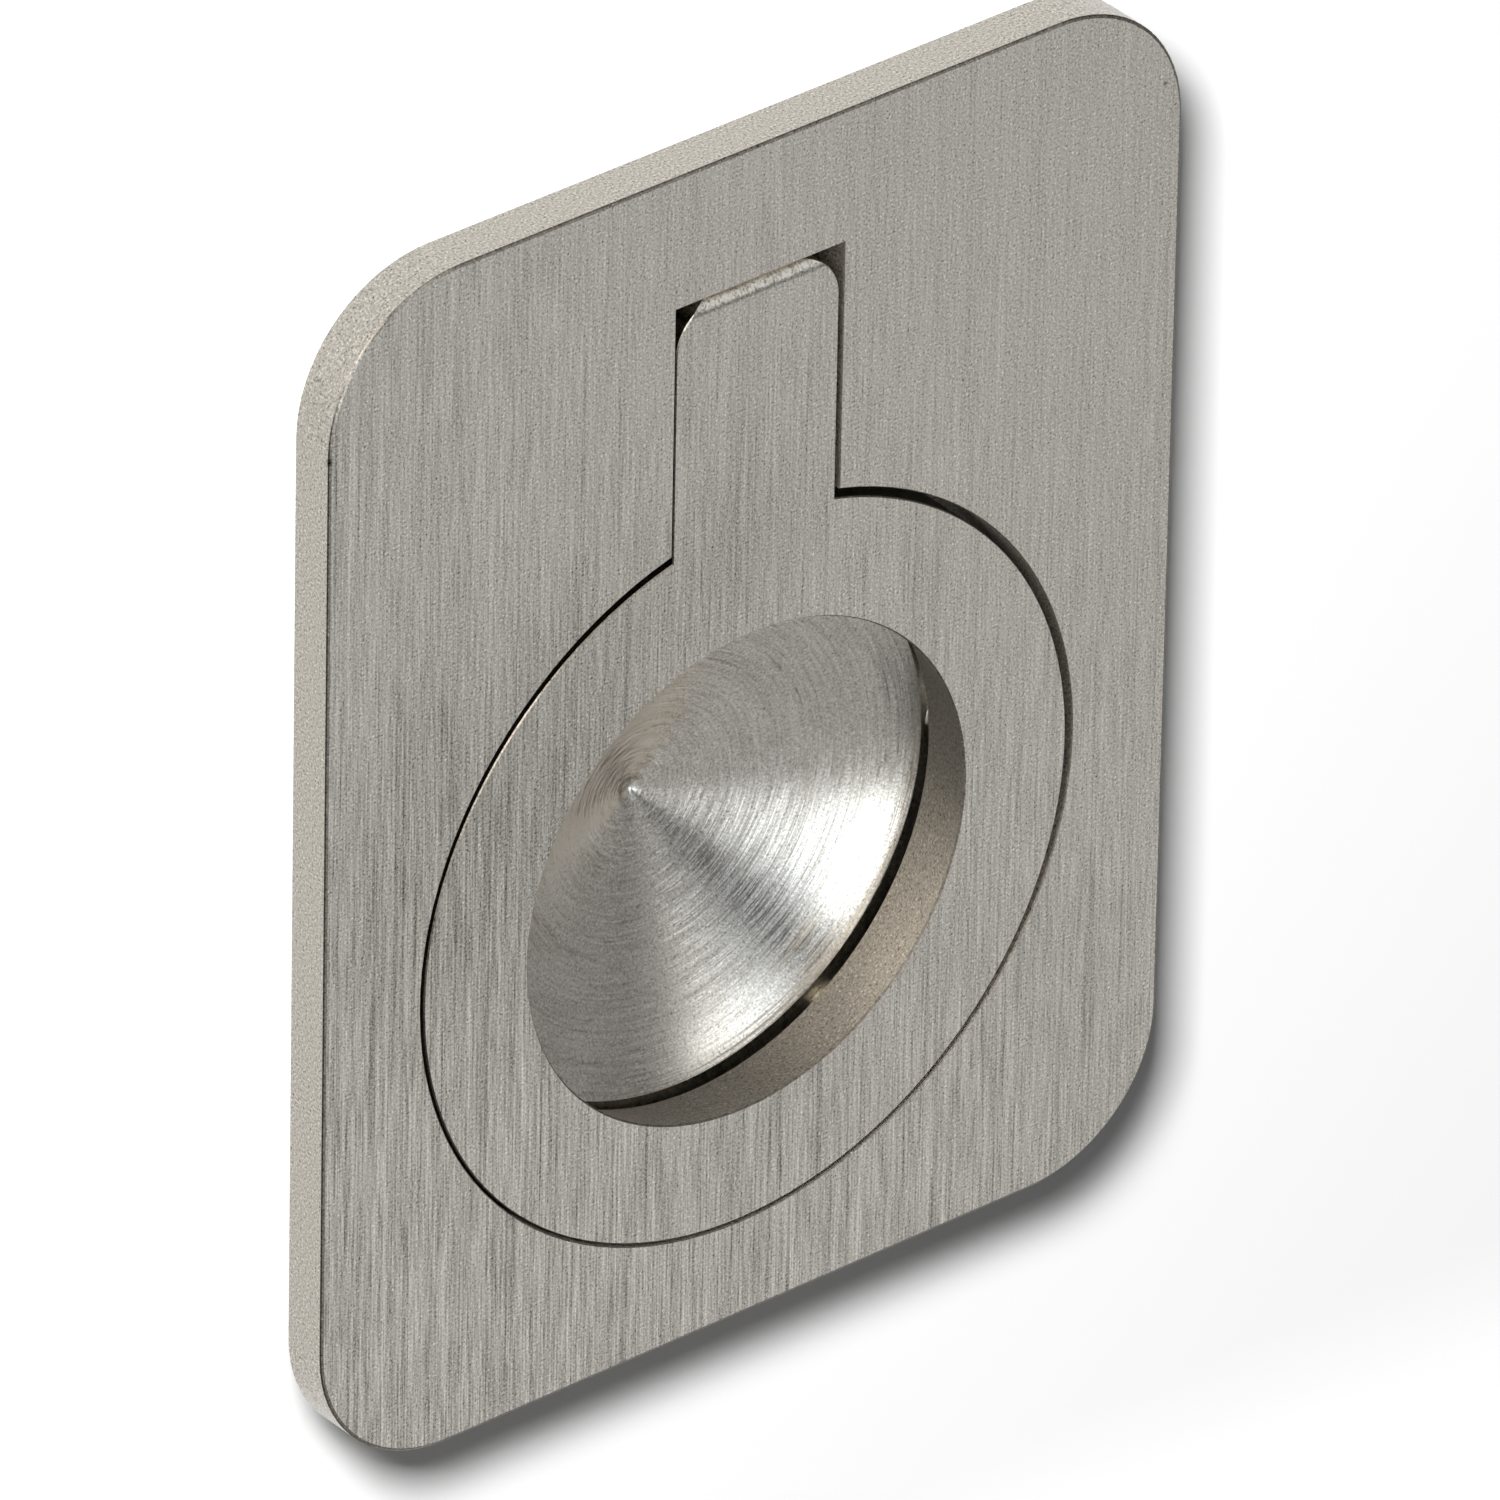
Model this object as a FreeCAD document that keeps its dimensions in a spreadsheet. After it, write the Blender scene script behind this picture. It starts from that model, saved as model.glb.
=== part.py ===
import FreeCAD, Part
import math
import os
import Sketcher

# Flush ring pull for a pocket door: a plate with a keyhole opening, a ring that swings out of it on a trapped
# pin, and a turned dish behind. Millimetres. X runs across the plate, Y into the door and Z up. The plate's back
# face, which meets the door, is the plane y = 0, and the origin is at its centre.

SIZES = {
    # Face plate
    "plate_width": 50.0,
    "plate_height": 63.5,
    "plate_thickness": 2.5,
    "plate_corner": 7.5,
    "plate_break": 0.1,
    # Keyhole opening, a round with a slot above it
    "recess_radius": 19.35,
    "recess_margin": 5.2,  # plate left below the round
    "slot_width": 9.84,
    "slot_margin": 7.05,  # plate left above the slot
    "opening_break": 0.06,
    # Ring and its tab
    "ring_thickness": 3.9,
    "ring_gap": 0.29,
    "ring_drop": 0.13,  # how far the ring hangs below the middle of the keyhole
    "side_play": 0.1,  # how far it has slid along its pin
    "tab_side_gap": 0.14,
    "tab_end_gap": 0.2,
    "tab_corner": 2.4,
    "tab_nose": 0.72,  # round on the front edge of the tab's end
    "tab_heel": 2.2,  # round on its back edge
    "ring_break": 0.06,
    # Finger hole, flared towards the back for grip
    "finger_radius": 12.95,
    "finger_back_radius": 14.0,
    "finger_break": 0.1,
    # Hinge pin and the groove that traps it
    "pin_diameter": 1.6,
    "pin_length": 17.0,
    "pin_chamfer": 0.2,
    "pin_depth": 1.5,  # from the plate's front to the pin's axis
    "pin_below_end": 3.05,  # from the tab's end down to the pin's axis
    "pin_running": 0.04,  # radial clearance in the ring
    "pin_seat": 0.02,  # radial clearance in the groove
    "pin_end_gap": 0.25,
    # Flange of the housing, let into the back of the plate
    "rebate_depth": 0.3,
    "rebate_gap": 0.1,
    "flange_land": 3.0,  # plate left bare around the flange
    "flange_thickness": 1.6,
    # Walls and floor of the housing
    "setback": 0.2,  # how far its walls stand back from the edge of the opening
    "round_wall": 1.6,
    "block_wall": 2.4,  # beyond the pin's ends and above the slot
    "back_gap": 0.75,  # from the ring's back to the floor
    "floor_thickness": 1.75,
    "housing_break": 0.6,
    # Dish
    "dish_radius": 14.1,
    "dish_depth": 4.05,  # down to the mark at its centre
    "dish_curve": 92.0,  # radius of its hollow side
    "dish_rim_wall": 1.2,
    "dish_back_wall": 1.2,
    "dish_back_radius": 5.0,
    "centre_radius": 0.7,  # mark left by the turning centre
    "centre_depth": 0.2,
    # Pads that the closed ring rests on
    "pad_radius": 1.5,
    "pad_from_centre": 16.7,
    "pad_angle": 35.0,  # from the bottom of the ring
    "pad_gap": 0.03,
    # Countersunk holes for the screws that fix the pull to a door
    "fixing_diameter": 2.7,
    "fixing_head": 4.8,
    "fixing_from_centre": 16.7,
    "countersink": 90.0,
    # Screws that hold the housing to the plate
    "screw_diameter": 2.0,
    "screw_head": 3.8,
    "screw_length": 3.0,
    "screw_inset": 4.0,  # in from the flange's edges
    "screw_gap": 0.05,
    "screw_seat": 0.02,
    "tapped_depth": 1.6,
    "drive_width": 0.5,
    "drive_length": 2.0,
    "drive_depth": 0.6,
}

# Places and sizes that follow from the ones above
DERIVED = {
    "front_y": "=-plate_thickness",
    "recess_z": "=recess_margin + recess_radius - plate_height / 2",
    "slot_top": "=plate_height / 2 - slot_margin",
    "ring_radius": "=recess_radius - ring_gap",
    "ring_z": "=recess_z - ring_drop",
    "ring_back_y": "=front_y + ring_thickness",
    "tab_width": "=slot_width - 2 * tab_side_gap",
    "tab_top": "=slot_top - tab_end_gap",
    "pin_y": "=front_y + pin_depth",
    "pin_z": "=tab_top - pin_below_end",
    "groove_radius": "=pin_diameter / 2 + pin_seat",
    "groove_length": "=pin_length + 2 * pin_end_gap",
    "flange_width": "=plate_width - 2 * flange_land",
    "flange_height": "=plate_height - 2 * flange_land",
    "flange_corner": "=plate_corner - flange_land",
    "flange_back_y": "=flange_thickness - rebate_depth",
    "floor_y": "=ring_back_y + back_gap",
    "floor_back_y": "=floor_y + floor_thickness",
    "mark_y": "=floor_y + dish_depth",
    "apex_y": "=mark_y + centre_depth",
    "dish_back_y": "=apex_y + dish_back_wall",
    "dish_run": "=dish_radius - centre_radius",
    "dish_side": "=sqrt(dish_run ^ 2 + dish_depth ^ 2)",
    "dish_reach": "=sqrt(dish_curve ^ 2 - dish_side ^ 2 / 4)",
    "curve_x": "=(dish_radius + centre_radius) / 2 - dish_reach * dish_depth / dish_side",
    "curve_y": "=(floor_y + mark_y) / 2 - dish_reach * dish_run / dish_side",
    "inner_radius": "=recess_radius + setback",
    "inner_width": "=slot_width + 2 * setback",
    "inner_top": "=slot_top + setback",
    "outer_radius": "=inner_radius + round_wall",
    "outer_width": "=groove_length + 2 * block_wall",
    "outer_top": "=inner_top + block_wall",
    "screw_x": "=flange_width / 2 - screw_inset",
    "screw_z": "=flange_height / 2 - screw_inset",
    "head_height": "=(screw_head - screw_diameter) / 2",
}

doc = FreeCAD.newDocument("ring_pull")
sheet = doc.addObject("Spreadsheet::Sheet", "size")
for row, (alias, content) in enumerate([*SIZES.items(), *DERIVED.items()], start=1):
    sheet.set(f"A{row}", alias)
    sheet.set(f"B{row}", str(content))
    sheet.setAlias(f"B{row}", alias)
doc.recompute()

EXACT = 1e-6  # two places this close are the same place
SPARE = 1.0  # how far a cut runs past the solid


def value(formula):
    """What a formula on the sheet's sizes comes to."""
    return float(sheet.evalExpression(str(formula)))


def new_body(name):
    body = doc.addObject("PartDesign::Body", name)
    body.Label = name
    return body


def new_sketch(body, role, name, offset=None):
    """A sketch on one of the body's origin planes, moved along the plane's normal by a formula. The normal of
    the XZ plane points to the front, along -Y, so there the offset is minus the sketch's y."""
    sketch = body.newObject("Sketcher::SketchObject", name)
    plane = next(p for p in body.Origin.OriginFeatures if p.Role == role)
    sketch.AttachmentSupport = [(plane, "")]
    sketch.MapMode = "FlatFace"
    if offset:
        sketch.setExpression("AttachmentOffset.Base.z", offset)
    return sketch


def dimension(sketch, kind, where, formula):
    """One driving dimension, bound to a formula on the sheet."""
    index = sketch.addConstraint(Sketcher.Constraint(kind, *where, value(formula)))
    sketch.setExpression(f"Constraints[{index}]", str(formula))


def place(sketch, element, vertex, x=None, y=None):
    """Places one point of an element across, up or both ways from the sketch's origin."""
    for axis, kind, formula in ((-2, "DistanceX", x), (-1, "DistanceY", y)):
        if formula == "0":
            sketch.addConstraint(Sketcher.Constraint("PointOnObject", element, vertex, axis))
        elif formula:
            dimension(sketch, kind, (-1, 1, element, vertex), formula)


def add_circle(sketch, x, y, radius):
    centre = FreeCAD.Vector(value(x), value(y), 0)
    circle = sketch.addGeometry(Part.Circle(centre, FreeCAD.Vector(0, 0, 1), value(radius)))
    place(sketch, circle, 3, x, y)
    dimension(sketch, "Radius", (circle,), radius)


def add_outline(sketch, points, arcs=None):
    """A closed outline through points given as formulas. arcs maps the number of a stretch to the formulas of
    its centre and to True where it runs anticlockwise; the other stretches are straight. With its two ends
    placed, an arc needs its centre placed one way only: across, where it stands more upright than level."""
    arcs = arcs or {}
    spots = [FreeCAD.Vector(value(x), value(y), 0) for x, y in points]
    elements = []
    for number, start in enumerate(spots):
        end = spots[(number + 1) % len(spots)]
        if number in arcs:
            x, y, anticlockwise = arcs[number]
            centre = FreeCAD.Vector(value(x), value(y), 0)
            first, last = (start, end) if anticlockwise else (end, start)
            angles = [math.atan2(spot.y - centre.y, spot.x - centre.x) for spot in (first, last)]
            circle = Part.Circle(centre, FreeCAD.Vector(0, 0, 1), start.distanceToPoint(centre))
            element = sketch.addGeometry(Part.ArcOfCircle(circle, *angles))
            elements.append((element, 1, 2) if anticlockwise else (element, 2, 1))
        else:
            elements.append((sketch.addGeometry(Part.LineSegment(start, end)), 1, 2))
    for number, (element, head, tail) in enumerate(elements):
        following, next_head, _ = elements[(number + 1) % len(elements)]
        sketch.addConstraint(Sketcher.Constraint("Coincident", element, tail, following, next_head))
        place(sketch, element, head, *points[number])
        if number in arcs:
            chord = spots[(number + 1) % len(spots)] - spots[number]
            x, y, _ = arcs[number]
            if abs(chord.y) > abs(chord.x):
                place(sketch, element, 3, x=x)
            else:
                place(sketch, element, 3, y=y)


def add_rounded_rectangle(sketch, width, height, radius):
    """A rectangle with round corners, centred on the sketch's origin."""
    points, arcs = [], {}
    for number, (side, end) in enumerate(((1, -1), (1, 1), (-1, 1), (-1, -1))):
        centre_x = f"{side} * (({width}) / 2 - ({radius}))"
        centre_y = f"{end} * (({height}) / 2 - ({radius}))"
        on_side = (f"{side} * ({width}) / 2", centre_y)
        on_end = (centre_x, f"{end} * ({height}) / 2")
        points += [on_end, on_side] if side * end < 0 else [on_side, on_end]
        arcs[2 * number] = (centre_x, centre_y, True)
    add_outline(sketch, points, arcs)


def add_keyhole(sketch, radius, centre_z, width, top):
    """A round with a square-ended slot above it, about the line x = 0."""
    joint = f"{centre_z} + sqrt({radius} ^ 2 - {width} ^ 2 / 4)"
    left, right = f"-{width} / 2", f"{width} / 2"
    points = [(left, joint), (right, joint), (right, top), (left, top)]
    add_outline(sketch, points, {0: ("0", centre_z, True)})


def add_corner_waste(sketch, side, end, inward, radius):
    """What a round takes off a corner: the corner is at (side, end), the solid lies below the end and inward of
    the side, which is 1 towards greater x and -1 towards smaller."""
    centre_x, centre_y = f"{side} + {inward} * {radius}", f"{end} - {radius}"
    points = [
        (side, centre_y),
        (centre_x, end),
        (centre_x, f"{end} + {SPARE}"),
        (f"{side} - {inward} * {SPARE}", f"{end} + {SPARE}"),
        (f"{side} - {inward} * {SPARE}", centre_y),
    ]
    add_outline(sketch, points, {0: (centre_x, centre_y, inward < 0)})


def pad(body, sketch, name, length, both_ways=False):
    feature = body.newObject("PartDesign::Pad", name)
    feature.Profile = sketch
    feature.SideType = "Symmetric" if both_ways else "One side"
    feature.setExpression("Length", length)
    return feature


def pocket(body, sketch, name, length=None, both_ways=False):
    """A cut against the sketch's normal, right through where no length is given."""
    feature = body.newObject("PartDesign::Pocket", name)
    feature.Profile = sketch
    feature.SideType = "Symmetric" if both_ways else "One side"
    if length:
        feature.setExpression("Length", length)
    else:
        feature.Type = "ThroughAll"
    return feature


def turned(body, kind, name, centre_z, points, arcs=None):
    """A revolution or groove about a line along Y, from an outline of (radius, y) points."""
    sketch = new_sketch(body, "XY_Plane", f"{name}_profile", centre_z)
    add_outline(sketch, points, arcs)
    feature = body.newObject(f"PartDesign::{kind}", name)
    feature.Profile = sketch
    feature.ReferenceAxis = (sketch, ["V_Axis"])
    feature.Angle = 360
    return feature


def edges_where(shape, wanted):
    return [f"Edge{number}" for number, edge in enumerate(shape.Edges, start=1) if wanted(edge)]


def lies_at(edge, y):
    """Whether an edge lies in the plane of that y."""
    return abs(edge.BoundBox.YMin - y) < EXACT and abs(edge.BoundBox.YMax - y) < EXACT


def runs_along_y(edge):
    return edge.BoundBox.XLength < EXACT and edge.BoundBox.ZLength < EXACT


def dress(body, kind, name, wanted, amount):
    """A chamfer or fillet on the edges of the body's last feature that are wanted."""
    doc.recompute()
    base = body.Tip
    feature = body.newObject(f"PartDesign::{kind}", name)
    feature.Base = (base, edges_where(base.Shape, wanted))
    feature.setExpression("Size" if kind == "Chamfer" else "Radius", amount)
    return feature


def make_face_plate():
    body = new_body("face_plate")
    outline = new_sketch(body, "XZ_Plane", "plate_outline")
    add_rounded_rectangle(outline, "size.plate_width", "size.plate_height", "size.plate_corner")
    pad(body, outline, "plate", "size.plate_thickness")

    # Both edges of the rim are broken before the opening is cut
    dress(body, "Chamfer", "rim_break", lambda edge: not runs_along_y(edge), "size.plate_break")

    opening = new_sketch(body, "XZ_Plane", "opening_outline", "-size.front_y")
    add_keyhole(opening, "size.recess_radius", "size.recess_z", "size.slot_width", "size.slot_top")
    pocket(body, opening, "opening")
    front = value("size.front_y")
    widest = value("size.recess_radius") + EXACT
    lowest = value("size.recess_z - size.recess_radius") - EXACT
    highest = value("size.slot_top") + EXACT

    def around_opening(edge):
        box = edge.BoundBox
        return lies_at(edge, front) and box.XMax < widest and box.ZMin > lowest and box.ZMax < highest

    dress(body, "Chamfer", "opening_edge", around_opening, "size.opening_break")

    rebate = new_sketch(body, "XZ_Plane", "rebate_outline", "size.rebate_depth")
    add_rounded_rectangle(rebate, "size.flange_width + 2 * size.rebate_gap",
                          "size.flange_height + 2 * size.rebate_gap", "size.flange_corner + size.rebate_gap")
    pocket(body, rebate, "rebate")

    # The pin's groove is round at its front and open to the back
    groove = new_sketch(body, "YZ_Plane", "groove_section")
    above, below = "size.pin_z + size.groove_radius", "size.pin_z - size.groove_radius"
    add_outline(groove, [("size.pin_y", above), ("size.pin_y", below), (f"{SPARE}", below),
                         (f"{SPARE}", above)],
                {0: ("size.pin_y", "size.pin_z", True)})
    pocket(body, groove, "pin_groove", "size.groove_length", both_ways=True)

    tapped = new_sketch(body, "XZ_Plane", "tapped_holes", "size.rebate_depth + size.tapped_depth")
    for side in (1, -1):
        for end in (1, -1):
            add_circle(tapped, f"{side} * size.screw_x", f"{end} * size.screw_z", "size.screw_diameter / 2")
    pocket(body, tapped, "tapped")
    return body


def make_ring_pull():
    body = new_body("ring_pull")
    body.setExpression("Placement.Base.x", "-size.side_play")
    outline = new_sketch(body, "XZ_Plane", "ring_outline", "-size.ring_back_y")
    add_keyhole(outline, "size.ring_radius", "size.ring_z", "size.tab_width", "size.tab_top")
    pad(body, outline, "ring", "size.ring_thickness")

    top = value("size.tab_top")
    dress(body, "Fillet", "tab_corners", lambda edge: runs_along_y(edge)
          and abs(edge.BoundBox.ZMax - top) < EXACT, "size.tab_corner")
    front, back = value("size.front_y"), value("size.ring_back_y")
    dress(body, "Chamfer", "front_edge", lambda edge: lies_at(edge, front), "size.ring_break")

    # The tab's end is rounded front and back, so that it clears the plate and the floor as the ring turns
    waste = new_sketch(body, "YZ_Plane", "tab_end_waste")
    add_corner_waste(waste, "size.front_y", "size.tab_top", 1, "size.tab_nose")
    add_corner_waste(waste, "size.ring_back_y", "size.tab_top", -1, "size.tab_heel")
    pocket(body, waste, "tab_end", both_ways=True)

    turned(body, "Groove", "finger_hole", "size.ring_z", [
        ("0", "size.front_y"),
        ("size.finger_radius", "size.front_y"),
        ("size.finger_back_radius", "size.ring_back_y"),
        ("0", "size.ring_back_y"),
    ])
    rim = value("size.finger_radius")
    back_rim = value("size.finger_back_radius")
    dress(body, "Chamfer", "finger_front_edge", lambda edge: lies_at(edge, front)
          and abs(edge.BoundBox.XLength / 2 - rim) < EXACT, "size.finger_break")
    dress(body, "Chamfer", "finger_back_edge", lambda edge: lies_at(edge, back)
          and abs(edge.BoundBox.XLength / 2 - back_rim) < EXACT, "size.ring_break")

    bore = new_sketch(body, "YZ_Plane", "pin_bore")
    add_circle(bore, "size.pin_y", "size.pin_z", "size.pin_diameter / 2 + size.pin_running")
    pocket(body, bore, "bore", both_ways=True)
    return body


def make_hinge_pin():
    body = new_body("hinge_pin")
    section = new_sketch(body, "YZ_Plane", "pin_section")
    add_circle(section, "size.pin_y", "size.pin_z", "size.pin_diameter / 2")
    pad(body, section, "pin", "size.pin_length", both_ways=True)
    dress(body, "Chamfer", "pin_ends", lambda edge: edge.BoundBox.XLength < EXACT, "size.pin_chamfer")
    return body


def make_back_housing():
    body = new_body("back_housing")
    flange = new_sketch(body, "XZ_Plane", "flange_outline", "-size.flange_back_y")
    add_rounded_rectangle(flange, "size.flange_width", "size.flange_height", "size.flange_corner")
    pad(body, flange, "flange", "size.flange_thickness")

    block = new_sketch(body, "XZ_Plane", "block_outline", "-size.floor_back_y")
    add_keyhole(block, "size.outer_radius", "size.recess_z", "size.outer_width", "size.outer_top")
    pad(body, block, "block", "size.floor_back_y")
    back = value("size.floor_back_y")
    dress(body, "Chamfer", "block_edge", lambda edge: lies_at(edge, back), "size.housing_break")

    turned(body, "Revolution", "dish_back", "size.recess_z", [
        ("0", "size.floor_y"),
        ("size.dish_radius + size.dish_rim_wall", "size.floor_y"),
        ("size.dish_radius + size.dish_rim_wall", "size.floor_back_y"),
        ("size.dish_back_radius", "size.dish_back_y"),
        ("0", "size.dish_back_y"),
    ])

    recess = new_sketch(body, "XZ_Plane", "recess_outline", "size.rebate_depth")
    add_keyhole(recess, "size.inner_radius", "size.recess_z", "size.inner_width", "size.inner_top")
    pocket(body, recess, "recess", "size.floor_y + size.rebate_depth")

    # The dish is nearly a cone, a little hollow, with a small mark where the turning centre stood
    turned(body, "Groove", "dish", "size.recess_z", [
        ("0", "size.floor_y"),
        ("size.dish_radius", "size.floor_y"),
        ("size.centre_radius", "size.mark_y"),
        ("0", "size.apex_y"),
    ], {1: ("size.curve_x", "size.curve_y", True)})

    pads = new_sketch(body, "XZ_Plane", "pad_outlines", "-size.floor_y")
    for side in (1, -1):
        add_circle(pads, f"{side} * size.pad_from_centre * sin(size.pad_angle)",
                   "size.recess_z - size.pad_from_centre * cos(size.pad_angle)", "size.pad_radius")
    pad(body, pads, "rest_pads", "size.back_gap - size.pad_gap")

    fixing = new_sketch(body, "XZ_Plane", "fixing_holes", "-size.floor_y")
    for side in (1, -1):
        add_circle(fixing, f"{side} * size.fixing_from_centre", "size.recess_z", "size.fixing_diameter / 2")
    countersunk(body, fixing, "fixing", "size.fixing_diameter", "size.fixing_head")

    screws = new_sketch(body, "XZ_Plane", "flange_holes", "-size.flange_back_y")
    for side in (1, -1):
        for end in (1, -1):
            add_circle(screws, f"{side} * size.screw_x", f"{end} * size.screw_z", "size.screw_diameter / 2")
    countersunk(body, screws, "flange_hole", "size.screw_diameter + 2 * size.screw_gap",
                "size.screw_head + 2 * size.screw_seat", from_back=True)

    groove = new_sketch(body, "YZ_Plane", "groove_section")
    add_circle(groove, "size.pin_y", "size.pin_z", "size.groove_radius")
    pocket(body, groove, "pin_groove", "size.groove_length", both_ways=True)
    return body


def countersunk(body, sketch, name, diameter, head, from_back=False):
    """Countersunk through holes at the circles of a sketch, sunk on the side of the sketch's own plane."""
    doc.recompute()
    feature = body.newObject("PartDesign::Hole", name)
    feature.Profile = sketch
    feature.DepthType = "ThroughAll"
    feature.HoleCutType = "Countersink"
    feature.HoleCutCustomValues = True
    feature.Reversed = from_back
    feature.setExpression("Diameter", diameter)
    feature.setExpression("HoleCutDiameter", head)
    feature.setExpression("HoleCutCountersinkAngle", "size.countersink")
    return feature


def make_screw(number, side, end):
    """A countersunk screw with a cross recess, its head flush with the back of the flange."""
    body = new_body(f"screw_{number}")
    body.setExpression("Placement.Base.x", f"{side} * size.screw_x")
    body.setExpression("Placement.Base.y", "size.flange_back_y")
    body.setExpression("Placement.Base.z", f"{end} * size.screw_z")
    shank = "size.screw_diameter / 2 - size.screw_gap"
    turned(body, "Revolution", "screw", None, [
        ("0", "0"),
        ("size.screw_head / 2", "0"),
        (shank, "-size.head_height"),
        (shank, "-size.screw_length"),
        ("0", "-size.screw_length"),
    ])
    for name, width, length in (("slot_across", "length", "width"), ("slot_along", "width", "length")):
        slot = new_sketch(body, "XZ_Plane", f"{name}_outline", "size.drive_depth")
        half_x, half_z = f"size.drive_{width} / 2", f"size.drive_{length} / 2"
        add_outline(slot, [(f"-{half_x}", f"-{half_z}"), (half_x, f"-{half_z}"), (half_x, half_z),
                           (f"-{half_x}", half_z)])
        pocket(body, slot, name)
    return body


def make_housing_screws():
    corners = [(side, end) for side in (1, -1) for end in (1, -1)]
    screws = [make_screw(number, *corner) for number, corner in enumerate(corners, start=1)]
    group = doc.addObject("Part::Compound", "housing_screws")
    group.Label = "housing_screws"
    group.Links = screws
    return group


nodes = [make_face_plate(), make_ring_pull(), make_hinge_pin(), make_back_housing(), make_housing_screws()]
doc.recompute()

for item in doc.Objects:
    if "Invalid" in item.State or "Error" in item.State:
        raise SystemExit(f"{item.Name} has failed: {item.State}")
for node in nodes:
    if node.Shape.isNull() or not node.Shape.isValid():
        raise SystemExit(f"{node.Label} has no valid shape")

os.makedirs("parts", exist_ok=True)
for node in nodes:
    node.Shape.exportStep(f"parts/{node.Label}.step")
    box = node.Shape.BoundBox
    print(f"{node.Label}: {len(node.Shape.Solids)} solid, {node.Shape.Volume:.2f} mm3,"
          f" x {box.XMin:.2f} to {box.XMax:.2f}, y {box.YMin:.2f} to {box.YMax:.2f},"
          f" z {box.ZMin:.2f} to {box.ZMax:.2f}")
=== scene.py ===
# A pocket door pull in brushed stainless steel: finishes, light and camera around the fixed solids.
import math

import bpy
import numpy as np
from mathutils import Matrix, Vector

mm = 0.001

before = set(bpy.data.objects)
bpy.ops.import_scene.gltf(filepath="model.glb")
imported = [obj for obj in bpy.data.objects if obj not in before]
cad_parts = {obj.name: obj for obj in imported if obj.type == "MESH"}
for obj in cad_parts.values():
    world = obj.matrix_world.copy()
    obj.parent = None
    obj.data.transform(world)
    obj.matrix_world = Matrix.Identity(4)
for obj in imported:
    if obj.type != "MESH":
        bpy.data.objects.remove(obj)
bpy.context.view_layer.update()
print("frame loaded")


class Wire:
    # Wraps an output socket. Sums, differences, products and powers of wires and numbers add Math nodes.
    def __init__(self, tree, socket=None):
        self.tree = tree
        self.socket = socket

    # Any other node: its type, its settings, its sockets' values or links, and which output to use.
    def node(self, kind, settings=None, sockets=None, output=0):
        made = self.tree.nodes.new("ShaderNode" + kind)
        for name, value in (settings or {}).items():
            setattr(made, name, value)
        for name, value in (sockets or {}).items():
            if isinstance(value, Wire):
                self.tree.links.new(value.socket, made.inputs[name])
            else:
                made.inputs[name].default_value = value
        return Wire(self.tree, made.outputs[output] if made.outputs else None)

    def maths(self, operation, first, second=0.0):
        return self.node("Math", {"operation": operation}, {0: first, 1: second})

    def __add__(self, other):
        return self.maths("ADD", self, other)

    def __radd__(self, other):
        return self.maths("ADD", other, self)

    def __sub__(self, other):
        return self.maths("SUBTRACT", self, other)

    def __rsub__(self, other):
        return self.maths("SUBTRACT", other, self)

    def __mul__(self, other):
        return self.maths("MULTIPLY", self, other)

    def __rmul__(self, other):
        return self.maths("MULTIPLY", other, self)

    def __truediv__(self, other):
        return self.maths("DIVIDE", self, other)

    def __pow__(self, other):
        return self.maths("POWER", self, other)


def newMaterial(name):
    material = bpy.data.materials.new(name)
    material.use_nodes = True
    material.node_tree.nodes.clear()
    return material, Wire(material.node_tree)


# from 0 to 1 as the value goes from one end to the other
def step(value, start, end):
    return value.node("MapRange", {"interpolation_type": "SMOOTHSTEP"}, {0: value, 1: start, 2: end})


# three numbers or wires as one vector
def vector(tool, x, y, z):
    return tool.node("CombineXYZ", {}, {0: x, 1: y, 2: z})


# soft noise about 0, from about -0.5 to 0.5, with that many marks along each of three wires
def marks(place, often, detail, rough, shift=(0, 0, 0)):
    at = [place[i] * often[i] + shift[i] for i in range(3)]
    sockets = {"Vector": vector(at[0], *at), "Scale": 1.0, "Detail": detail, "Roughness": rough}
    return at[0].node("TexNoise", {}, sockets) - 0.5


# how long two slopes or distances are together, never quite 0
def lengthOf(across, upward):
    return (across * across + upward * upward + 0.0001) ** 0.5


# how far a place is from a spot
def distance(x, y, z, spot):
    place = vector(x, x, y, z)
    return x.node("VectorMath", {"operation": "DISTANCE"}, {0: place, 1: spot}, output=1)


# the place on the object in millimetres, as three wires
def placeOf(tool):
    place = tool.node("TexCoord", {}, {}, output=3)
    inMm = tool.node("VectorMath", {"operation": "SCALE"}, {0: place, "Scale": 1 / mm})
    return [inMm.node("SeparateXYZ", {}, {0: inMm}, output=i) for i in range(3)]


# how far the surface faces into the door: -1 on the front and 1 on the back
def facingOf(tool):
    own = tool.node("TexCoord", {}, {}, output=1)
    return own.node("SeparateXYZ", {}, {0: own}, output=1)


# one where the camera looks straight at it
def seenByCamera(tool):
    return tool.node("LightPath", {}, {}, output=0)


# one where gloss or glass looks at it
def seenInMirrors(tool):
    glossy = tool.node("LightPath", {}, {}, output=3)
    through = tool.node("LightPath", {}, {}, output=6)
    return glossy + through


# a grey of that level
def grey(level):
    return vector(level, level, level, level)


# a colour times a value
def shaded(colour, value):
    settings = {"data_type": "RGBA", "blend_type": "MULTIPLY"}
    return value.node("Mix", settings, {0: 1.0, 6: colour, 7: grey(value)}, output=2)


# the first colour where the mask is 0 and the second where it is 1
def blended(mask, first, second):
    return mask.node("Mix", {"data_type": "RGBA"}, {0: mask, 6: first, 7: second}, output=2)


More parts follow.
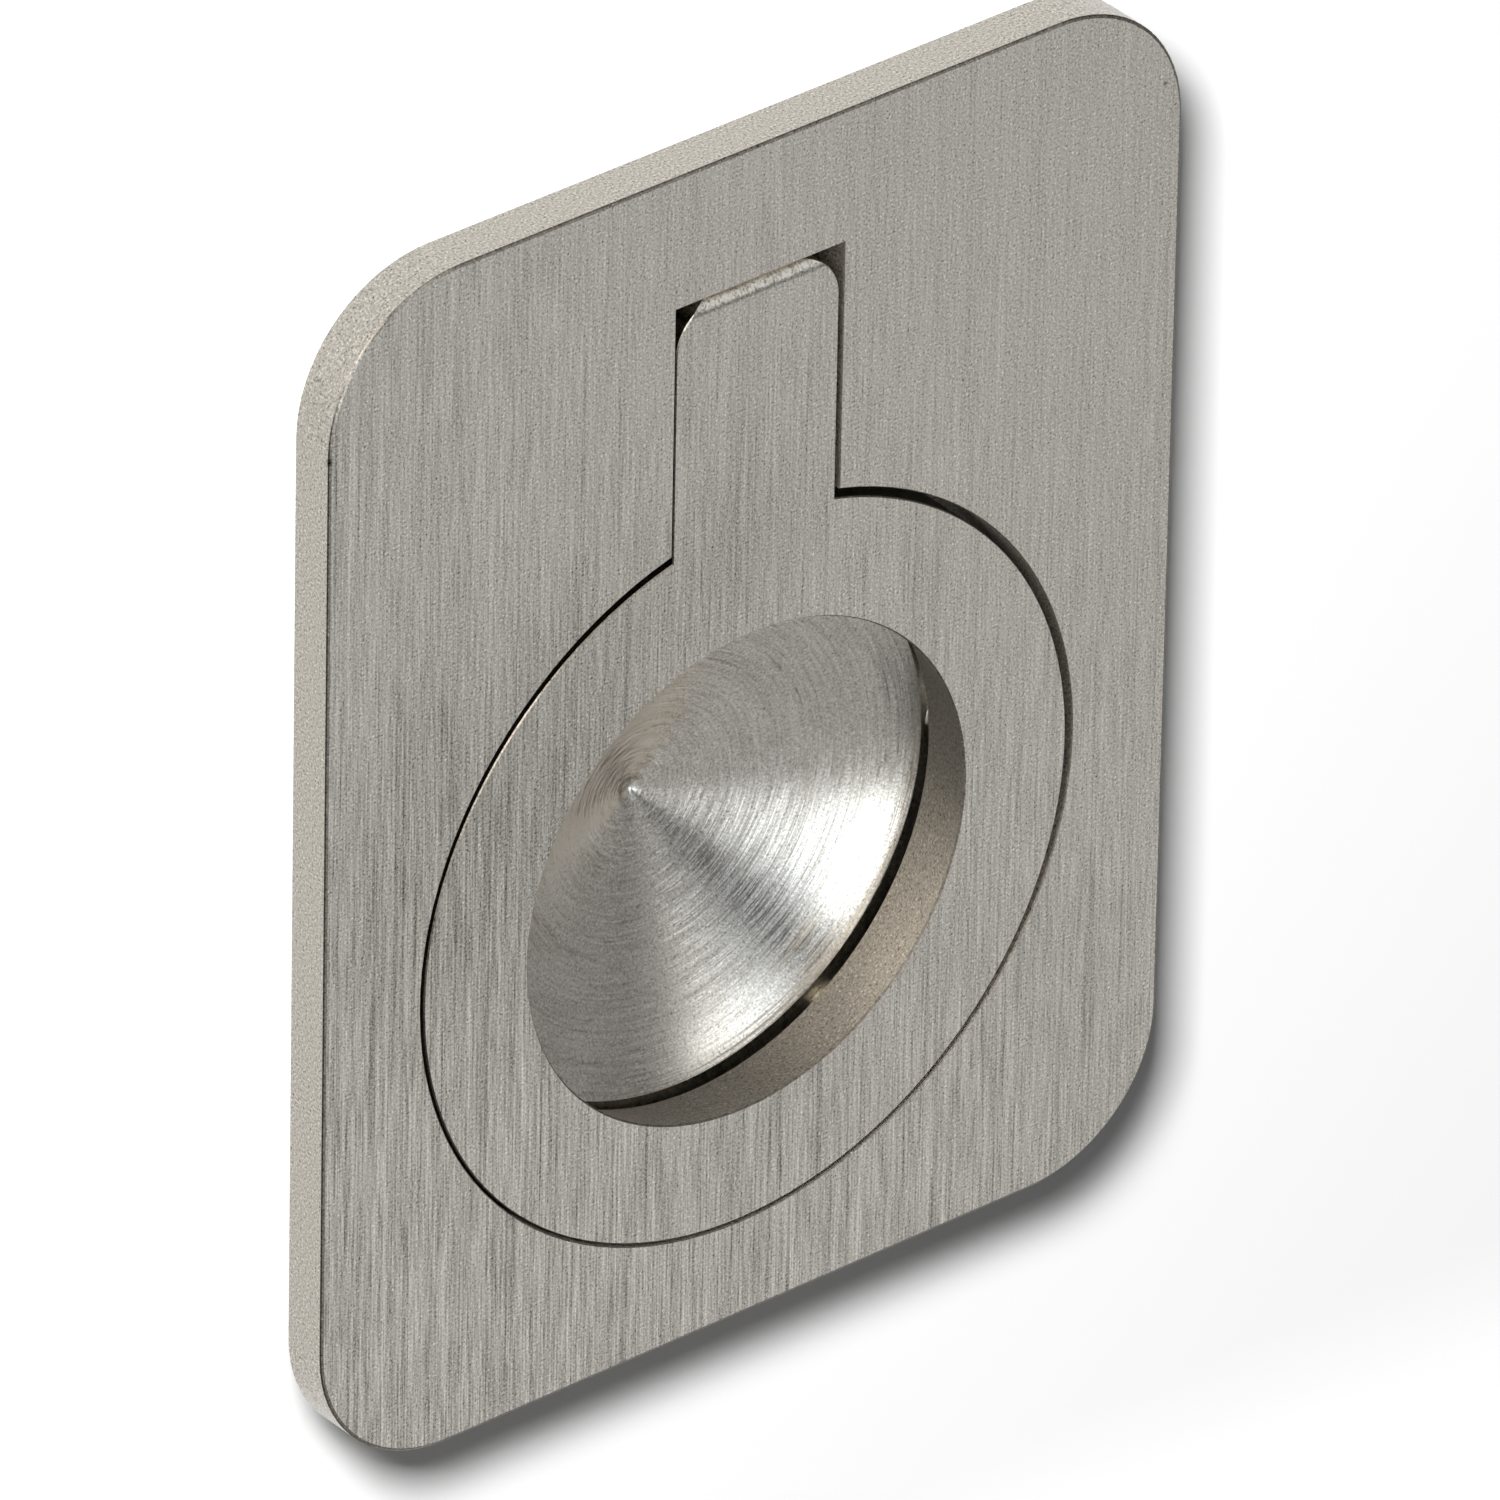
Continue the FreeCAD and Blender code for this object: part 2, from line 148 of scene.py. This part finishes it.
# the surface's direction leant over by three slopes given in the object's own axes
def leant(tool, x, y, z):
    own = tool.node("TexCoord", {}, {}, output=1)
    total = tool.node("VectorMath", {"operation": "ADD"}, {0: own, 1: vector(tool, x, y, z)})
    settings = {"vector_type": "NORMAL", "convert_from": "OBJECT", "convert_to": "WORLD"}
    inWorld = tool.node("VectorTransform", settings, {0: total})
    return tool.node("VectorMath", {"operation": "NORMALIZE"}, {0: inWorld})


def steel(tool, material, colour, roughness, normal):
    sockets = {"Metallic": 1.0, "Base Color": colour, "Roughness": roughness, "Normal": normal}
    surface = tool.node("BsdfPrincipled", {}, sockets)
    tool.node("OutputMaterial", {}, {"Surface": surface})
    return material


# How much light the flat steel mirrors on the whole. A finish is written below as the tone that it shows.
studio = 0.76


def inStudio(r, g, b):
    return (r / studio, g / studio, b / studio, 1)


brushed = {
    "face": inStudio(0.370, 0.352, 0.319),
    # painted light: the edges are lighter than the face for the light that falls on them
    "rim": inStudio(0.475, 0.445, 0.392),
    "wall": inStudio(0.485, 0.443, 0.388),  # of the plate's opening and the ring's hole
    "arris": inStudio(0.17, 0.15, 0.125),
    "frontFacing": (0.90, 0.99),  # how far a surface faces forwards where the edge ends and the face begins
    "arrisFacing": (0.25, 0.45),
    "plateHalf": (25.0, 31.75),
    "rimFrom": (0.87, 0.89),  # share of the plate's half size where its opening ends and its rim begins
    # marks a millimetre across, inwards and along, how much detail is in them, and how rough it is
    "streaks": ((6.5, 0.3, 0.07), 2.0, 0.6),
    "fine": ((12.0, 1.0, 0.4), 1.0, 0.5),
    "scratches": ((4.6, 1.0, 0.04), 1.0, 0.5),
    "specks": ((8.0, 8.0, 8.0), 2.0, 0.75),
    "streakTone": 0.60,
    "fineTone": 1.0,
    "speckTone": 1.5,
    "sparseTone": 80.0,  # of the few strong specks
    # noise where a scratch starts and is full, and how much it changes the tone
    "darkScratch": (0.12, 0.20, 0.20),
    "lightScratch": (-0.16, -0.24, 0.16),
    "pressure": (0.90, 0.012, 0.014, 0.45),  # of the brush: middle, loss a millimetre right and up, and least
    "lean": 0.10,
    "speckLean": (0.05, 0.06),
    "roughness": 0.3,
    "speckRough": 0.1,
    # patches of painted shade on the front: their middle, reach and depth
    "shadePatches": [((-13.0, 0.0, 1.0), 18.0, 0.21), ((-1.0, 0.0, 11.0), 8.0, 0.12)],
    # a nick and two pits: their place, where they are full and end, and their depth
    "nicks": [
        ((-25.0, -2.5, 24.05), 0.12, 0.3, 0.6),
        ((23.92, -2.5, 26.25), 0.068, 0.17, 0.6),
        ((-21.5, -1.2, 29.7), 0.14, 0.35, 0.25),
    ],
    "hole": (-0.1, -7.33),  # the middle of the ring's hole
    "holeReach": (15.0, 14.7),
    "holeLight": (0.731, -0.682, 0.74),  # the side of its wall with the most painted light, and where the brighter part ends
    "wallLight": 0.68,  # the wall's painted light there and its painted shade elsewhere, and how much less it is at the top, more below
    "wallShade": 0.39,
    "wallTurn": 0.08,
    "insideRough": 0.3,  # how much rougher that wall and the opening's are
    "nose": (23.3, 23.5),  # where the round end of the ring's tab begins
    "paintedNoseLight": 0.42,  # painted highlight: how much brighter it is
    "noseMarks": 1.8,
    "corner": (-3.2, -4.3, 1.1),  # where the painted shade at its left corner starts and is full, and how much darker it is
}


# how hard the brush has pressed: most at the lower left of the front, least at its upper right
def pressure(x, z):
    middle, right, up, least = brushed["pressure"]
    hard = middle - x * right - z * up
    return hard.maths("MAXIMUM", hard, least)


# how much painted shade a place gets
def patchShade(x, z):
    total = 0.0
    for spot, reach, depth in brushed["shadePatches"]:
        total = (1 - step(distance(x, 0.0, z, spot), 0.0, reach)) * depth + total
    return total


# how much darker the small marks make a place
def nicked(x, y, z):
    total = 0.0
    for spot, full, end, depth in brushed["nicks"]:
        total = (1 - step(distance(x, y, z, spot), full, end)) * depth + total
    return total


# the ring's edges: the wall of its hole, painted brightest on one side, its sharp edges, and the round end of
# its tab, painted brighter
def ringEdges(x, z, streaks, arris):
    b = brushed
    holeX, holeZ = b["hole"]
    outX = x - holeX
    outZ = z - holeZ
    radius = lengthOf(outX, outZ)
    # painted light and shade on the hole's wall: brightest on one side, less at the top, more below
    lightX, lightZ, near = b["holeLight"]
    lit = (outX * lightX + outZ * lightZ) / radius
    paintedWallLight = step(lit, near, 1.0) * (b["wallLight"] - b["wallShade"]) + b["wallShade"]
    paintedWallLight = paintedWallLight - (outZ / radius) * b["wallTurn"]
    nose = step(z, *b["nose"])
    sides = blended(nose, shaded(b["wall"], paintedWallLight), b["rim"])
    # a painted highlight on the tab's round end, with painted shade at its left corner
    starts, full, paintedShadeDepth = b["corner"]
    paintedNoseLight = streaks * b["noseMarks"] + b["paintedNoseLight"] - step(x, starts, full) * paintedShadeDepth
    edges = shaded(blended(arris * (1 - nose), sides, b["arris"]), 1 + nose * paintedNoseLight)
    return edges, step(radius, *b["holeReach"])


# the plate's edges: the wall of its opening, its sharp edges and its rim, painted lighter for the light on it
def plateEdges(x, z, front, arris):
    b = brushed
    halfX, halfZ = b["plateHalf"]
    outX = x.maths("ABSOLUTE", x) / halfX
    outZ = z.maths("ABSOLUTE", z) / halfZ
    outside = step(outX.maths("MAXIMUM", outX, outZ), *b["rimFrom"])
    edges = blended(arris * (1 - front), blended(outside, b["wall"], b["rim"]), b["arris"])
    return edges, 1 - outside


# Brushed front, and edges painted lighter for the light that falls on the sides. The marks are noise
# stretched along Z: their tone and a lean to each side.
def brushedSteel(name, seed, isRing):
    b = brushed
    material, tool = newMaterial(name)
    x, y, z = placeOf(tool)
    facing = facingOf(tool)
    facing = facing.maths("ABSOLUTE", facing)
    front = step(facing, *b["frontFacing"])
    arris = step(facing, *b["arrisFacing"])

    streaks = marks([x, y, z], *b["streaks"], (seed, 0, 0))
    fine = marks([x, y, z], *b["fine"], (seed, 0, seed))
    scratches = marks([x, y, z], *b["scratches"], (seed * 2, 0, 0))
    specks = marks([x, y, z], *b["specks"], (0, 0, seed))
    sparse = specks * specks * specks * b["sparseTone"]
    darkFrom, darkTo, dark = b["darkScratch"]
    lightFrom, lightTo, light = b["lightScratch"]
    scratched = step(scratches, darkFrom, darkTo) * dark - step(scratches, lightFrom, lightTo) * light

    brushing = (streaks * b["streakTone"] + fine * b["fineTone"] - scratched) * pressure(x, z) * front
    # the front gets painted shade in patches
    tone = 1 + brushing + specks * b["speckTone"] + sparse - patchShade(x, z) * front
    if isRing:
        edges, inside = ringEdges(x, z, streaks, arris)
    else:
        edges, inside = plateEdges(x, z, front, arris)
        tone = tone - nicked(x, y, z)
    colour = shaded(blended(front, edges, b["face"]), tone)
    leanY, leanZ = b["speckLean"]
    normal = leant(tool, (streaks + fine) * b["lean"] * front, specks * leanY, specks * leanZ)
    roughness = b["roughness"] + specks * b["speckRough"] + inside * (1 - front) * b["insideRough"]
    return steel(tool, material, colour, roughness, normal)


turned = {
    "dish": inStudio(0.591, 0.567, 0.516),
    "housing": inStudio(0.370, 0.352, 0.319),
    "centre": (0.0, -7.2),
    "reach": (15.4, 15.5),  # where the turned marks end and the brushed ones begin
    "frontFacing": (0.1, -0.1),
    # marks a millimetre outwards, changes on their way round, detail, roughness, and a shift
    "grooves": ((7.0, 2.0, 2.0), 2.0, 0.6),
    "fine": ((80.0, 2.0, 2.0), 1.0, 0.6, (0, 7, 0)),
    "torn": ((14.0, 4.0, 4.0), 1.0, 0.6, (50, 0, 9)),
    "scores": ((3.5, 3.0, 3.0), 2.0, 0.6, (0, 30, 0)),
    "specks": ((8.0, 8.0, 8.0), 2.0, 0.75),
    "streaks": ((5.0, 5.0, 0.1), 2.0, 0.6),
    "grooveTone": 0.7,
    "scoreTone": (0.13, 0.18, 0.22),  # noise where a score starts and is full, and how dark it is
    "sparseTone": 40.0,
    "streakTone": 0.8,
    "lean": 0.25,
    "broadLean": 0.25,
    "speckLean": 0.04,
    "lip": (11.0, 13.6, 0.13),  # where it grows steeper towards its rim, and by how much
    "roughness": (0.15, 0.24, 0.32),  # in the smooth grooves, in the torn ones and beyond the dish
    "tornFrom": (-0.05, 0.05),
    "paintedDimpleLight": (0.42, 0.62, 0.95, 0.7),  # painted shade in a ring round the dimple at its middle: start, darkest, end, and how dark
    # the side of the dimple that gets the painted shade
    "dimpleShadeSide": (-0.6, 0.9),
    "point": (0.3, 0.6, 0.42),  # the painted highlight in it: where it fades and ends, and how bright
    "paintedReflection": (140.0, 6.0, 9.0, 0.40),  # a sector of painted reflection: its angle, where it fades and ends, how much more
    "paintedReflectionSide": (0.05, 0.7),
    "paintedReflectionColour": inStudio(0.580, 0.573, 0.553),
}


# Turned marks about the dish's axis: noise along the radius alone, which leans the surface in and out. Beyond
# the dish the marks are brushed along Z.
def turnedSteel(name):
    t = turned
    material, tool = newMaterial(name)
    x, y, z = placeOf(tool)
    centreX, centreZ = t["centre"]
    across = x - centreX
    upward = z - centreZ
    radius = lengthOf(across, upward)
    outX = across / radius
    outZ = upward / radius
    front = step(facingOf(tool), *t["frontFacing"])
    inside = 1 - step(radius, *t["reach"])

    grooves = marks([radius, outX, outZ], *t["grooves"])
    fine = marks([radius, outX, outZ], *t["fine"])
    torn = marks([radius, outX, outZ], *t["torn"])
    scores = marks([radius, outX, outZ], *t["scores"])
    specks = marks([x, y, z], *t["specks"])
    streaks = marks([x, y, z], *t["streaks"])
    sparse = specks * specks * specks * t["sparseTone"]
    scoreFrom, scoreTo, scoreTone = t["scoreTone"]
    turning = grooves * t["grooveTone"] - step(scores, scoreFrom, scoreTo) * scoreTone
    worked = blended(inside, streaks * t["streakTone"], turning)

    # painted shade on one side of the dimple at the middle, with a painted highlight in it
    starts, darkest, ends, depth = t["paintedDimpleLight"]
    dimpleShade = step(radius, starts, darkest) * (1 - step(radius, darkest, ends))
    dimpleShade = dimpleShade * step(outZ - outX, *t["dimpleShadeSide"])
    fades, ends, bright = t["point"]
    paintedDimpleLight = dimpleShade * depth - (1 - step(radius, fades, ends)) * bright
    # painted reflection: a brighter, cooler sector of the dish towards the upper left
    angle, fades, ends, more = t["paintedReflection"]
    a = math.radians(angle)
    towardsIt = step(outX * math.cos(a) + outZ * math.sin(a), *t["paintedReflectionSide"])
    paintedReflection = towardsIt * step(radius, ends, fades) * front
    dishWithReflection = blended(paintedReflection, t["dish"], t["paintedReflectionColour"])
    tone = 1 + worked + specks + sparse - paintedDimpleLight * front + paintedReflection * more
    colour = shaded(blended(inside * front, t["housing"], dishWithReflection), tone)

    grows, full, steeper = t["lip"]
    lean = (fine * t["lean"] + grooves * t["broadLean"] - step(radius, grows, full) * steeper) * inside
    normal = leant(tool, outX * lean, specks * t["speckLean"], outZ * lean)
    smooth, rough, beyond = t["roughness"]
    inDish = smooth - beyond + step(torn, *t["tornFrom"]) * (rough - smooth)
    return steel(tool, material, colour, beyond + inside * inDish, normal)


plain = {
    "colour": inStudio(0.38, 0.37, 0.35),
    "roughness": 0.28,
    "specks": ((14.0, 14.0, 14.0), 2.0, 0.5),
    "speckTone": 0.3,
    "speckRough": 0.15,
    "speckLean": 0.05,
    "recessShade": (0.05, 0.7, 0.6),  # painted shade in a cross recess: how deep it starts and is darkest, and by how much
}


# Plain bright steel of the pin and the screws, with a fine uneven surface. Screws get painted shade in their
# cross recesses below their heads.
def plainSteel(name, headY=None):
    p = plain
    material, tool = newMaterial(name)
    x, y, z = placeOf(tool)
    specks = marks([x, y, z], *p["specks"])
    tone = 1 + specks * p["speckTone"]
    if headY is not None:
        # painted shade inside the cross recess
        shallow, deep, paintedShadeDepth = p["recessShade"]
        tone = tone - step(y, headY - shallow, headY - deep) * paintedShadeDepth
    lean = specks * p["speckLean"]
    roughness = p["roughness"] + specks * p["speckRough"]
    return steel(tool, material, shaded(p["colour"], tone), roughness, leant(tool, lean, lean, 0.0))


def dress(node, material):
    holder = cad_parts[node]
    holder.data.materials.clear()
    holder.data.materials.append(material)


heads = max(vertex.co.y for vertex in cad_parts["housing_screws"].data.vertices) / mm
dress("face_plate", brushedSteel("plateSteel", 3.0, False))
dress("ring_pull", brushedSteel("ringSteel", 41.0, True))
dress("back_housing", turnedSteel("housingSteel"))
dress("hinge_pin", plainSteel("pinSteel"))
dress("housing_screws", plainSteel("screwSteel", heads))
print("steel finishes made")

shot = {
    "azimuth": -39.697,
    "elevation": 32.130,
    "roll": 1.123,
    "distance": 1.1835,
    "target": (-0.094 * mm, -2.5 * mm, -0.687 * mm),
    "lensPixels": 25742.0,
    "framePixels": 1500.0,
    "sensor": 36.0,
    "nearest": 0.01,
}


# the direction from the object to a camera or lamp at that azimuth and elevation
def towards(azimuth, elevation):
    a = math.radians(azimuth)
    e = math.radians(elevation)
    return Vector((math.sin(a) * math.cos(e), -math.cos(a) * math.cos(e), math.sin(e)))


def makeCamera():
    back = towards(shot["azimuth"], shot["elevation"])
    lens = bpy.data.cameras.new("camera")
    lens.sensor_width = shot["sensor"]
    lens.lens = shot["sensor"] * shot["lensPixels"] / shot["framePixels"]
    lens.clip_start = shot["nearest"]
    camera = bpy.data.objects.new("camera", lens)
    bpy.context.scene.collection.objects.link(camera)
    level = (-back).to_track_quat("-Z", "Y").to_matrix().to_4x4()
    tilt = Matrix.Rotation(math.radians(shot["roll"]), 4, "Z")
    place = Vector(shot["target"]) + back * shot["distance"]
    camera.matrix_world = Matrix.Translation(place) @ level @ tilt
    bpy.context.scene.camera = camera


makeCamera()
print("camera placed")

backdrop = {
    "wallY": 7.8 * mm,
    "floorZ": -105 * mm,
    "top": 0.35,
    "front": -0.26,
    "half": 0.45,
    "bend": 50 * mm,
    "bendSteps": 25,
    "tone": 0.88,
    "bounce": 0.05,  # the paper's tone for light that it throws on itself, low so that the shadow stays deep
    "glow": 0.05,
}


# One sheet that is a wall behind the object and a floor below it. Its profile runs down the wall, round a
# quarter circle and forward along the floor, and is carried along X. It is clear from behind.
def makeBackdrop():
    b = backdrop
    turn = np.linspace(0.0, math.pi / 2, b["bendSteps"])
    bendY = b["wallY"] - b["bend"] + b["bend"] * np.cos(turn)
    bendZ = b["floorZ"] + b["bend"] - b["bend"] * np.sin(turn)
    y = np.concatenate([[b["wallY"]], bendY, [b["front"]]])
    z = np.concatenate([[b["top"]], bendZ, [b["floorZ"]]])
    x = np.array([-b["half"], b["half"]])
    points = np.stack(np.broadcast_arrays(x[:, None], y[None, :], z[None, :]), -1).reshape(-1, 3)
    rows = np.arange(len(y) - 1)
    faces = np.stack([rows, rows + 1, rows + len(y) + 1, rows + len(y)], 1)
    mesh = bpy.data.meshes.new("backdrop")
    mesh.from_pydata(points.tolist(), [], faces.tolist())
    mesh.shade_smooth()
    sheet = bpy.data.objects.new("backdrop", mesh)
    bpy.context.scene.collection.objects.link(sheet)

    material, tool = newMaterial("backdropPaper")
    camera = seenByCamera(tool)
    tone = b["bounce"] + camera * (b["tone"] - b["bounce"])
    paper = tool.node("BsdfDiffuse", {}, {"Color": grey(tone)})
    glow = tool.node("Emission", {}, {"Color": grey(camera * b["glow"])})
    lit = tool.node("AddShader", {}, {0: paper, 1: glow})
    fromBehind = tool.node("NewGeometry", {}, {}, output=6)
    clear = tool.node("BsdfTransparent")
    shown = tool.node("MixShader", {}, {0: fromBehind, 1: lit, 2: clear})
    tool.node("OutputMaterial", {}, {"Surface": shown})
    sheet.data.materials.append(material)
    sheet.visible_glossy = False


makeBackdrop()
print("backdrop made")

key = {"azimuth": -43.6, "elevation": 37.2, "distance": 0.9, "size": 0.11, "level": 410.0}


# A square lamp that casts the shadow on the paper. The steel mirrors the studio alone.
def makeKey():
    lamp = bpy.data.lights.new("keyLamp", "AREA")
    lamp.size = key["size"]
    lamp.energy = key["level"] * math.pi * key["size"] ** 2
    holder = bpy.data.objects.new("keyLamp", lamp)
    bpy.context.scene.collection.objects.link(holder)
    direction = towards(key["azimuth"], key["elevation"])
    turn = direction.to_track_quat("Z", "Y").to_matrix().to_4x4()
    holder.matrix_world = Matrix.Translation(direction * key["distance"]) @ turn
    holder.visible_glossy = False


makeKey()

# The studio that the steel mirrors, a pattern that stands still in space. A place in it is written as the
# slopes, along X and Z, by which steel in the plate's plane is leant to mirror it towards the fixed side
# below: 0 for the flat front, and around the dish as an angle, where 0 is right and 90 is up.
sky = {
    "side": towards(-39.697, 32.130),
    "leastDeep": -0.2,
    "leastAlong": 0.02,
    "diffuse": 0.04,
    "around": 0.88,
    "aroundFrom": (-0.3, -0.6),
    "flat": (1.035, 0.05, 0.18),  # level in front of the flat steel, and slopes between which it changes
    "mean": 0.32,
    "swing": (50.0, 0.062),  # the angle with the most light, and how much more
    # angle, tangents where it is full and ends, slopes where it starts, is full, fades and ends, and gain
    "wedges": [
        (332.0, 0.05, 0.38, 0.22, 0.38, 0.55, 0.78, 1.17),
        (330.0, 0.15, 0.33, 0.31, 0.42, 0.55, 0.78, 1.85),
        (330.0, 0.10, 0.36, 0.80, 0.95, 1.15, 1.32, 1.80),
        (287.0, 0.05, 0.34, 0.26, 0.38, 1.05, 1.20, 0.83),
        (290.0, 0.05, 0.38, 0.35, 0.50, 1.05, 1.20, 0.77),
        (309.0, 0.00, 0.24, 0.12, 0.25, 0.60, 0.80, -0.22),
        (258.0, 0.00, 0.25, 0.15, 0.25, 0.60, 0.80, -0.06),
        (325.0, 0.05, 0.65, 1.15, 1.30, 2.00, 3.00, 0.60),
        (8.0, 0.00, 0.50, 0.45, 0.60, 1.20, 1.50, -0.30),
    ],
    "cool": (315.0, 0.35, 0.75, 0.24, 0.36, 0.60, 0.80),  # where the light is a cooler white
    "white": (1, 1, 1, 1),
    "coolWhite": (0.90, 0.96, 1.03, 1),
    # direction, level, and the cosines where it starts and is full
    "glows": [
        ((-0.56, -0.66, 0.49), 5.5, 0.94, 0.985),
        ((-0.541, 0.652, -0.531), 0.78, 0.70, 0.95),
    ],
}


def makeWorld():
    s = sky
    world = bpy.data.worlds.new("studio")
    bpy.context.scene.world = world
    world.use_nodes = True
    world.node_tree.nodes.clear()
    tool = Wire(world.node_tree)
    direction = tool.node("TexCoord", {}, {}, output=0)
    x, y, z = [direction.node("SeparateXYZ", {}, {0: direction}, output=i) for i in range(3)]
    sideX, sideY, sideZ = s["side"]
    deep = y + sideY
    safe = deep.maths("MINIMUM", deep, s["leastDeep"])
    slopeX = (x + sideX) / safe
    slopeZ = (z + sideZ) / safe
    slope = lengthOf(slopeX, slopeZ)

    # the slopes along an angle and across it
    def turnedTo(angle):
        a = math.radians(angle)
        return slopeX * math.cos(a) + slopeZ * math.sin(a), slopeZ * math.cos(a) - slopeX * math.sin(a)

    # one inside a wedge of slopes about an angle, and 0 outside
    def wedge(angle, full, end, start, most, fades, ends):
        along, across = turnedTo(angle)
        aside = across.maths("ABSOLUTE", across) / along.maths("MAXIMUM", along, s["leastAlong"])
        return step(aside, end, full) * step(along, start, most) * step(along, ends, fades)

    angle, more = s["swing"]
    level = s["mean"] + turnedTo(angle)[0] / slope * more
    for *place, gain in s["wedges"]:
        level = level + wedge(*place) * gain
    flat, flatTo, changed = s["flat"]
    level = flat + (level - flat) * step(slope, flatTo, changed)
    level = s["around"] + (level - s["around"]) * step(deep, *s["aroundFrom"])
    for way, brightness, outer, inner in s["glows"]:
        sockets = {0: direction, 1: tuple(Vector(way).normalized())}
        near = tool.node("VectorMath", {"operation": "DOT_PRODUCT"}, sockets, output=1)
        level = level + (brightness - level) * step(near, outer, inner)

    behind = grey(s["diffuse"] + seenByCamera(tool) * (1 - s["diffuse"]))
    tint = blended(wedge(*s["cool"]), s["white"], s["coolWhite"])
    paperLight = tool.node("Background", {}, {"Color": behind})
    steelLight = tool.node("Background", {}, {"Color": shaded(tint, level)})
    shade = tool.node("MixShader", {}, {0: seenInMirrors(tool), 1: paperLight, 2: steelLight})
    tool.node("OutputWorld", {}, {"Surface": shade})


makeWorld()
bpy.context.scene.view_settings.view_transform = "Standard"
print("light made")
